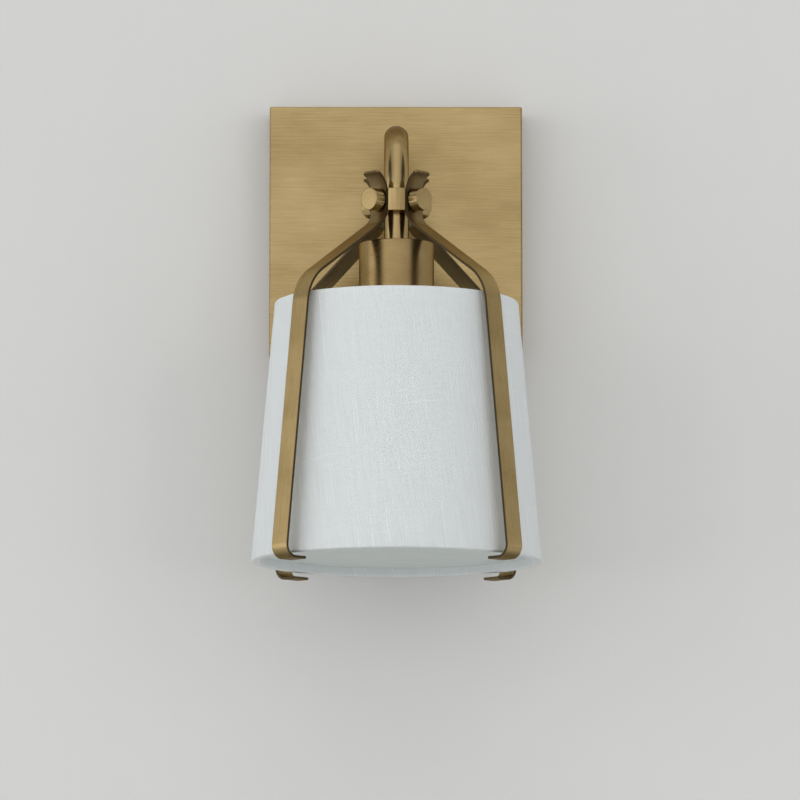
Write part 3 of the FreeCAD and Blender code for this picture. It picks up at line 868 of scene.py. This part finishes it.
class WALLLIGHT_OT_lampholder(bpy.types.Operator):
    """Finish the moulded lampholder, roll the thread of its shell and rib its ring nut"""
    bl_idname = "wall_light.lampholder"
    bl_label = "Lampholder"

    ROLLED_IN = 1.4 * MM  # from the shell's outside to the rolled thread's inner side
    ROLLED_OUT = 0.2 * MM  # and to its outer side
    GRIP_MARGIN = 0.5 * MM
    GRIP_DEPTH = 0.7 * MM
    GRIP_EDGE = 0.25 * MM

    def execute(self, context):
        dress_nodes("Zinc steel", "zinc_steel", "lampholder_cap")
        dress_nodes("Moulded black", "moulded_black", "lampholder_body")
        dress_nodes("Pressed brass", "bare_brass", "lampholder_contact")
        self.shell(settings("metal"))
        self.ring_nut(settings("metal"))
        return {"FINISHED"}

    def shell(self, sizes):
        """The screw shell: its wall, with a rounded ridge rolled into it."""
        low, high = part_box("lampholder_shell")
        shell = eased_copy("lampholder_shell")
        wall = half_width("lampholder_shell")
        ridge = thread_ridge("rolled", wall - self.ROLLED_IN, wall - self.ROLLED_OUT,
                             sizes.lamp_pitch, high.z - low.z, sides=10)
        stood(ridge, (0, -math.pi / 2, 0), (0, AXIS_Y, low.z))
        joined(shell, ridge)
        smooth(shell, 50)
        seat(shell, FIXED_BODY, "Pressed brass", "bare_brass", "lampholder_shell")

    def ring_nut(self, sizes):
        """The ring nut with its finger grips cut in between the ribs."""
        low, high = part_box("holder_ring")
        radius, bore = half_width("holder_ring"), half_width("lampholder_body")
        nothing_selected()
        bpy.ops.mesh.primitive_cylinder_add(
            vertices=sizes.grips * 6, radius=radius, depth=high.z - low.z,
            location=(0, AXIS_Y, (low.z + high.z) / 2))
        ring = just_added("finished_holder_ring")
        bored(ring, radius - bore, lambda face: abs(face.normal.z) > FACING)
        step = 2 * math.pi / sizes.grips

        def grip(face):
            turn = math.atan2(face.center.y - AXIS_Y, face.center.x) % step
            outside = axis_distance(face.center) > (radius + bore) / 2
            return outside and abs(face.normal.z) < 1 - FACING and turn < step / 3

        pick_faces(ring, grip)
        bpy.ops.mesh.inset(thickness=self.GRIP_MARGIN, depth=-self.GRIP_DEPTH)
        object_mode()
        face_outwards(ring)
        bevelled(ring, self.GRIP_EDGE, 40)
        even_shading(ring)
        seat(ring, FIXED_BODY, "Moulded black", "moulded_black", "holder_ring")


class WALLLIGHT_OT_shade_frame(bpy.types.Operator):
    """Finish what the linen is stretched on: backing, rings, spider and the frosted disc"""
    bl_idname = "wall_light.shade_frame"
    bl_label = "Shade frame"

    def execute(self, context):
        dress_nodes("White backing", "white_backing", "shade_liner")
        dress_nodes("White enamel", "white_enamel", "shade_top_ring", "shade_spider",
                    "shade_bottom_ring")
        dress_nodes("Frosted plastic", "frosted_acrylic", "diffuser")
        return {"FINISHED"}


class WALLLIGHT_OT_linen_cover(bpy.types.Operator):
    """Wrap the linen cover round the shade, turned in over both rims, with its seam at the back"""
    bl_idname = "wall_light.linen_cover"
    bl_label = "Linen cover"

    COLUMNS = 256  # faces round the shade
    FOLD_POINTS = 6  # round each fold
    CONE_STEPS = 18  # up the cone
    ARMS = (90, 210, 330)  # degrees round the axis to the spider's arms
    NOTCH_HALF = 2.9  # degrees that a notch reaches to each side of an arm
    NOTCH_DEPTH = 5 * MM  # down from the upper rim
    NOTCH_TOP = 0.4 * MM  # its upper end, over the wire's underside
    HEM_IN = 3 * MM  # the hem's face is further in than this from the rim's edge
    WANDER = 0.16 * MM
    WANDER_SIZE = 0.014

    def execute(self, context):
        sizes = settings("shade")
        outline = self.outline(sizes)
        reach = [0.0]
        for start, end in zip(outline, outline[1:]):
            reach.append(reach[-1] + (Vector(end) - Vector(start)).length)
        cover = self.turned_sheet(outline)
        self.map_threads(cover, [(*point, along) for point, along in zip(outline, reach)], sizes)
        self.cut_notches(cover, sizes)
        self.raise_seam(cover, sizes)
        self.relax(cover)
        apply_modifier(cover, "SOLIDIFY", thickness=sizes.cloth, offset=-1)
        smooth(cover, 40)
        seat(cover, FIXED_BODY, "Slub linen", "white_linen", "shade_fabric")
        return {"FINISHED"}

    def outline(self, sizes):
        """The outside of the cloth as (distance from the axis, height), from the lower hem's free edge
        round the lower rim, up the cone and round the upper rim to the other free edge."""
        low, top = CLOTH_LOW.z, CLOTH_HIGH.z
        low_hem = sizes.low_radius - sizes.low_turn_in
        top_hem = sizes.top_radius - sizes.top_turn_in
        corners = [Vector(corner) for corner in (
            (low_hem, low + sizes.hem), (low_hem, low), (sizes.low_radius, low),
            (sizes.top_radius, top), (top_hem, top), (top_hem, top - sizes.hem))]
        folds = [self.fold(*three, sizes.fold) for three in zip(corners, corners[1:], corners[2:])]
        cone = [folds[1][-1].lerp(folds[2][0], step / self.CONE_STEPS)
                for step in range(1, self.CONE_STEPS)]
        points = [corners[0], *folds[0], *folds[1], *cone, *folds[2], *folds[3], corners[-1]]
        return [tuple(point) for point in points]

    def fold(self, before, corner, after, radius):
        """Points round an arc of this radius in the corner."""
        into, out = (corner - before).normalized(), (after - corner).normalized()
        turn = into.angle(out)
        reach = radius * math.tan(turn / 2)
        start, end = corner - into * reach, corner + out * reach
        middle = corner + (out - into).normalized() * radius / math.cos(turn / 2)
        return [middle + (start - middle).slerp(end - middle, step / (self.FOLD_POINTS - 1)) * radius
                for step in range(self.FOLD_POINTS)]

    def turned_sheet(self, outline):
        nothing_selected()
        radius, height = outline[0]
        bpy.ops.mesh.primitive_circle_add(
            vertices=self.COLUMNS, radius=radius, fill_type="NOTHING", location=(0, AXIS_Y, height))
        cover = just_added("linen_cover")
        bpy.ops.object.mode_set(mode="EDIT")
        bpy.ops.mesh.select_mode(type="EDGE")
        bpy.ops.mesh.select_all(action="SELECT")
        for (old_radius, old_height), (new_radius, new_height) in zip(outline, outline[1:]):
            bpy.ops.mesh.extrude_region_move(
                TRANSFORM_OT_translate={"value": (0, 0, new_height - old_height)})
            grow = new_radius / old_radius
            bpy.ops.transform.resize(value=(grow, grow, 1), center_override=(0, AXIS_Y, new_height))
        bpy.ops.mesh.select_all(action="SELECT")
        bpy.ops.mesh.normals_make_consistent(inside=False)
        object_mode()
        half_way = (CLOTH_LOW.z + CLOTH_HIGH.z) / 2
        middle = min(cover.data.polygons, key=lambda face: abs(face.center.z - half_way))
        outwards = middle.center - Vector((0, AXIS_Y, middle.center.z))
        if middle.normal.dot(outwards) < 0:
            edit_all(cover)
            bpy.ops.mesh.flip_normals()
            object_mode()
        return cover

    def map_threads(self, cover, rows, sizes):
        """The cloth laid flat, in millimetres: a cone opens out to a sector, and its threads run
        straight across it. A row is a ring's radius and height and how far along the cloth it is."""
        slant = math.hypot(sizes.low_radius - sizes.top_radius, CLOTH_HIGH.z - CLOTH_LOW.z)
        opening = (sizes.low_radius - sizes.top_radius) / slant
        apex = sizes.low_radius / opening + sizes.low_turn_in + sizes.hem
        grain = math.pi + math.radians(sizes.grain_turn)
        layer = cover.data.uv_layers.new(name="threads")
        for face in cover.data.polygons:
            middle = self.round_angle(face.center)
            for loop_index in face.loop_indices:
                place = cover.data.vertices[cover.data.loops[loop_index].vertex_index].co
                angle = self.round_angle(place)
                angle += 2 * math.pi * round((middle - angle) / (2 * math.pi))
                away, up = axis_distance(place), place.z
                along = min(rows, key=lambda row: abs(row[0] - away) + abs(row[1] - up))[2]
                fan = (angle - grain) * opening
                spoke = apex - along
                flat = Vector((spoke * math.sin(fan), apex - spoke * math.cos(fan)))
                layer.data[loop_index].uv = flat / MM

    def round_angle(self, place):
        """Angle round the shade from its back, where the seam is."""
        return math.atan2(place.x, place.y - AXIS_Y) % (2 * math.pi)

    def cut_notches(self, cover, sizes):
        """Clear the upper hem where the spider's three arms pass."""
        low = CLOTH_HIGH.z - self.NOTCH_DEPTH
        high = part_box("shade_top_ring")[0].z + self.NOTCH_TOP

        def in_notch(face):
            angle = math.degrees(math.atan2(face.center.y - AXIS_Y, face.center.x))
            beside = min(abs((angle - arm + 180) % 360 - 180) for arm in self.ARMS)
            on_hem = axis_distance(face.center) <= sizes.top_radius - self.HEM_IN
            return on_hem and low <= face.center.z <= high and beside < self.NOTCH_HALF

        pick_faces(cover, in_notch)
        bpy.ops.mesh.delete(type="FACE")
        object_mode()

    def raise_seam(self, cover, sizes):
        """The overlap stands proud as a narrow band down the back."""
        def in_seam(face):
            away = self.round_angle(face.center)
            away = min(away, 2 * math.pi - away) * axis_distance(face.center)
            return away < sizes.seam / 2 and face.center.y > AXIS_Y

        pick_faces(cover, in_seam)
        bpy.ops.mesh.extrude_region_shrink_fatten(
            TRANSFORM_OT_shrink_fatten={"value": sizes.seam_rise})
        object_mode()

    def relax(self, cover):
        """Glued cloth is never quite true: its face wanders by a few hundredths of a millimetre."""
        cloud = bpy.data.textures.new("Cloth wander", "CLOUDS")
        cloud.noise_scale = self.WANDER_SIZE
        apply_modifier(cover, "DISPLACE", texture=cloud, texture_coords="LOCAL", strength=self.WANDER,
                       mid_level=0.5, direction="NORMAL")


class WALLLIGHT_OT_studio(bpy.types.Operator):
    """Set up the camera, the pale wall and floor, and soft lamps"""
    bl_idname = "wall_light.studio"
    bl_label = "Studio"

    SURFACE = 6  # side of the wall and of the floor
    FLOOR_DEPTH = 1.1
    WALL_GAP = 0.2 * MM  # between the pan's back and the wall
    PAN_LAP = 0.7 * MM  # how far the pan reaches over the wall's opening
    SOFTBOX = (2.4, 1.8)
    BOX_LAMP = (0.3, 0.3)  # behind the wall, for the pan's open back
    BOX_POWER = 0.6

    def execute(self, context):
        sizes = settings("studio")
        self.camera(sizes)
        self.wall(sizes)
        self.floor(sizes)
        aim = Vector((0, AXIS_Y, sizes.aim_z))
        self.softbox("Key softbox", (-2.5, -1.7, 0.2), aim, self.SOFTBOX, sizes.key)
        self.softbox("Fill softbox", (2.0, -2.3, 0.1), aim, self.SOFTBOX, sizes.fill)
        self.softbox("Box light", (0.0, 0.5, 0.0), Vector(), self.BOX_LAMP, self.BOX_POWER)
        self.air(sizes)
        context.scene.view_settings.view_transform = "Standard"
        return {"FINISHED"}

    def camera(self, sizes):
        azimuth, elevation = math.radians(sizes.azimuth), math.radians(sizes.elevation)
        forward = Vector((math.sin(azimuth) * math.cos(elevation),
                          math.cos(azimuth) * math.cos(elevation), math.sin(elevation)))
        right = Vector((math.cos(azimuth), -math.sin(azimuth), 0))
        data = bpy.data.cameras.new("Camera")
        data.sensor_width = 36
        data.lens = sizes.lens
        data.clip_start = 0.1
        data.clip_end = 50
        middle = Vector((0, AXIS_Y, sizes.aim_z)) + right * sizes.aim_x
        bpy.context.scene.camera = self.aimed(data, middle - forward * sizes.distance, forward)

    def aimed(self, data, place, direction):
        """An object for a camera or a lamp at this place, which looks in this direction."""
        made = new_object(data.name, data)
        made.location = place
        made.rotation_mode = "QUATERNION"
        made.rotation_quaternion = direction.to_track_quat("-Z", "Y")
        return made

    def wall(self, sizes):
        """The wall stands just behind the pan, and is open where the pan covers its box."""
        nothing_selected()
        bpy.ops.mesh.primitive_plane_add(
            size=self.SURFACE, location=(0, self.WALL_GAP, 0), rotation=(math.pi / 2, 0, 0))
        wall = just_added("Studio_wall")
        edit_all(wall)
        bpy.ops.mesh.inset(thickness=self.SURFACE / 2 - (PAN_HIGH.x - self.PAN_LAP))
        bpy.ops.mesh.delete(type="FACE")
        object_mode()
        paint(wall, finish_wall("Studio wall", sizes.wall))

    def floor(self, sizes):
        nothing_selected()
        bpy.ops.mesh.primitive_plane_add(
            size=self.SURFACE, location=(0, -self.SURFACE / 2, -self.FLOOR_DEPTH))
        floor = just_added("Studio_floor")
        paint(floor, finish_wall("Studio floor", sizes.floor))

    def softbox(self, name, place, aim, size, power):
        """A soft lamp for cloth and wall; the brass mirrors only the studio's air."""
        data = bpy.data.lights.new(name, "AREA")
        data.shape = "RECTANGLE"
        data.size, data.size_y = size
        data.energy = power
        self.aimed(data, place, aim - Vector(place)).visible_glossy = False

    def air(self, sizes):
        """Studio air that is brightest to the left and level with the light, with a patch over the
        camera and two dark gaps beside it, and a pale backdrop where the camera sees past the wall."""
        world = bpy.data.worlds.new("Studio air")
        world.use_nodes = True
        bpy.context.scene.world = world
        tree = world.node_tree
        background = tree.nodes["Background"]
        background.inputs["Color"].default_value = (1, 1, 1, 1)
        x, y, z = split(tree, node(tree, "TexCoord").outputs["Generated"])
        light = times(tree, between(tree, x, *AIR_ACROSS), sizes.ambient)
        light = times(tree, light, between(tree, z, *AIR_OVERHEAD))
        light = times(tree, light, between(tree, z, *AIR_BELOW))
        aside = math_node(tree, "ABSOLUTE", x)
        before = between(tree, y, *AIR_BEFORE)
        patch = times(tree, between(tree, aside, *PATCH_ASIDE), between(tree, z, *PATCH_UP))
        light = plus(tree, light, times(tree, patch, before))
        gap = math_node(tree, "ABSOLUTE", math_node(tree, "SUBTRACT", aside, GAP_ASIDE))
        gap = times(tree, between(tree, gap, *GAP_WIDTH), before)
        light = times(tree, light, between(tree, gap, 0.0, 1.0, 1.0, GAP_LIGHT))
        path = node(tree, "LightPath")
        seen = math_node(tree, "MAXIMUM", path.outputs["Is Camera Ray"],
                         path.outputs["Is Transmission Ray"])
        strength = node(tree, "Mix", Factor=seen, A=light, B=BACKDROP)
        tree.links.new(strength.outputs[0], background.inputs["Strength"])


OPERATORS = (WALLLIGHT_OT_finishes, WALLLIGHT_OT_wall_pan_and_arm, WALLLIGHT_OT_straps,
             WALLLIGHT_OT_thumbscrews, WALLLIGHT_OT_wall_fixing, WALLLIGHT_OT_lampholder,
             WALLLIGHT_OT_shade_frame, WALLLIGHT_OT_linen_cover, WALLLIGHT_OT_studio)


class WALLLIGHT_PT_panel(bpy.types.Panel):
    """Lists the light's settings and makes its pieces"""
    bl_idname = "WALLLIGHT_PT_panel"
    bl_label = "Wall Light"
    bl_space_type = "VIEW_3D"
    bl_region_type = "UI"
    bl_category = "Wall Light"

    def draw(self, context):
        for name, group in SETTINGS.items():
            box = self.layout.box()
            for label in group.__annotations__:
                box.prop(settings(name), label)
        for operator in OPERATORS:
            self.layout.operator(operator.bl_idname)


CLASSES = (*SETTINGS.values(), *OPERATORS, WALLLIGHT_PT_panel)


def register():
    for cls in CLASSES:
        bpy.utils.register_class(cls)
    for name, group in SETTINGS.items():
        setattr(bpy.types.Scene, "wall_light_" + name, bpy.props.PointerProperty(type=group))


def unregister():
    for name in SETTINGS:
        delattr(bpy.types.Scene, "wall_light_" + name)
    for cls in reversed(CLASSES):
        bpy.utils.unregister_class(cls)


def main():
    register()
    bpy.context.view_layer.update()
    for operator in OPERATORS:
        getattr(bpy.ops.wall_light, operator.bl_idname.split(".")[1])()
    nothing_selected()


if __name__ == "__main__":
    main()
